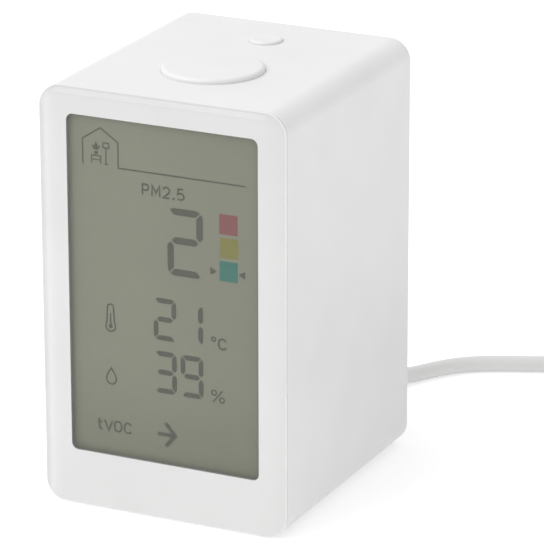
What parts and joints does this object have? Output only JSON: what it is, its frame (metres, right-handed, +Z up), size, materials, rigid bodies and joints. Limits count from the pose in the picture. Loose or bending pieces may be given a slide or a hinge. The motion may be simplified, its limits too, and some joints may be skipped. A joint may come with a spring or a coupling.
{
  "type": "air quality monitor",
  "caption": "Upright box-shaped desktop air quality monitor with a reflective display behind a clear front plate, push buttons on top, a vented back and a coiled USB lead.",
  "frame": {"origin": "on the table, under the middle of the housing", "axes": "+Z up, +Y towards the vented back, so the display faces -Y, and +X to the right seen from the front"},
  "size_m": [0.1326, 0.122, 0.0916],
  "materials": {
    "white_housing": "fine matt moulded white",
    "clear_window": "clear polished sheet",
    "white_mask": "white print behind the window",
    "rubber_feet": "soft grey",
    "dark_plastic": "dark moulded plastic",
    "lcd_film": "grey-green film with dark segments",
    "lcd_glass": "thin display glass",
    "reflector": "matt foil",
    "contact_rubber": "layered contact rubber",
    "circuit_board": "green solder mask",
    "chip_package": "black moulding",
    "steel": "plated",
    "brass_can": "satin",
    "foam": "open-cell foam",
    "harness": "flat ribbon",
    "white_lead": "soft white jacket",
    "tie_strap": "woven hook-and-loop strap"
  },
  "bodies": {
    "housing": {"body_shell": "white_housing", "rear_cover": "white_housing", "front_window": "clear_window", "window_mask": "white_mask", "foot_1": "rubber_feet", "foot_2": "rubber_feet", "foot_3": "rubber_feet", "foot_4": "rubber_feet", "display_carrier": "dark_plastic", "sensor_case": "dark_plastic", "lcd_polariser": "lcd_film", "lcd_front_glass": "lcd_glass", "lcd_rear_glass": "lcd_glass", "lcd_reflector": "reflector", "zebra_strip": "contact_rubber", "main_board": "circuit_board", "button_board": "circuit_board", "sensor_board": "circuit_board", "gas_board": "circuit_board", "usb_board": "circuit_board", "controller_chip": "chip_package", "mode_switch_body": "chip_package", "standby_switch_body": "chip_package", "photodiode": "chip_package", "humidity_sensor": "chip_package", "fan_motor": "chip_package", "usb_socket_tongue": "chip_package", "radio_shield": "steel", "board_screw_1": "steel", "board_screw_2": "steel", "button_board_screw_1": "steel", "button_board_screw_2": "steel", "cover_screw_1": "steel", "cover_screw_2": "steel", "cover_screw_3": "steel", "cover_screw_4": "steel", "mode_button_spring": "steel", "sensor_lid": "steel", "gas_sensor": "steel", "usb_socket_shell": "steel", "laser_diode": "brass_can", "duct_gasket": "foam", "sensor_harness": "harness", "power_harness": "harness"},
    "mode_button": {"mode_button": "white_housing", "mode_switch_plunger": "dark_plastic"},
    "standby_button": {"standby_button": "white_housing", "standby_switch_plunger": "dark_plastic"},
    "fan": {"fan_rotor": "dark_plastic"},
    "lead": {"usb_c_tip": "steel", "usb_c_overmould": "white_lead", "lead_cable": "white_lead", "lead_coil": "white_lead", "lead_tie": "tie_strap", "lead_tail": "white_lead", "usb_a_overmould": "white_lead", "usb_a_shell": "steel", "usb_a_insulator": "chip_package"}
  },
  "joints": [
    {"name": "mode_button_press", "type": "slide", "parent": "housing", "child": "mode_button", "axis": [0, 0, -1], "range_m": [0, 0.001], "stiffness_N_per_m": 800, "springref_m": -0.0008, "deforming": ["mode_button_spring"]},
    {"name": "standby_button_press", "type": "slide", "parent": "housing", "child": "standby_button", "axis": [0, 0, -1], "range_m": [0, 0.0006], "stiffness_N_per_m": 800, "springref_m": -0.0008},
    {"name": "fan_spin", "type": "hinge", "parent": "housing", "child": "fan", "pos_m": [0, 0.0187, 0.0305], "axis": [0, 1, 0], "continuous": true},
    {"name": "lead_plug_pull", "type": "slide", "parent": "housing", "child": "lead", "axis": [0, 1, 0], "range_m": [0, 0.009]}
  ]
}
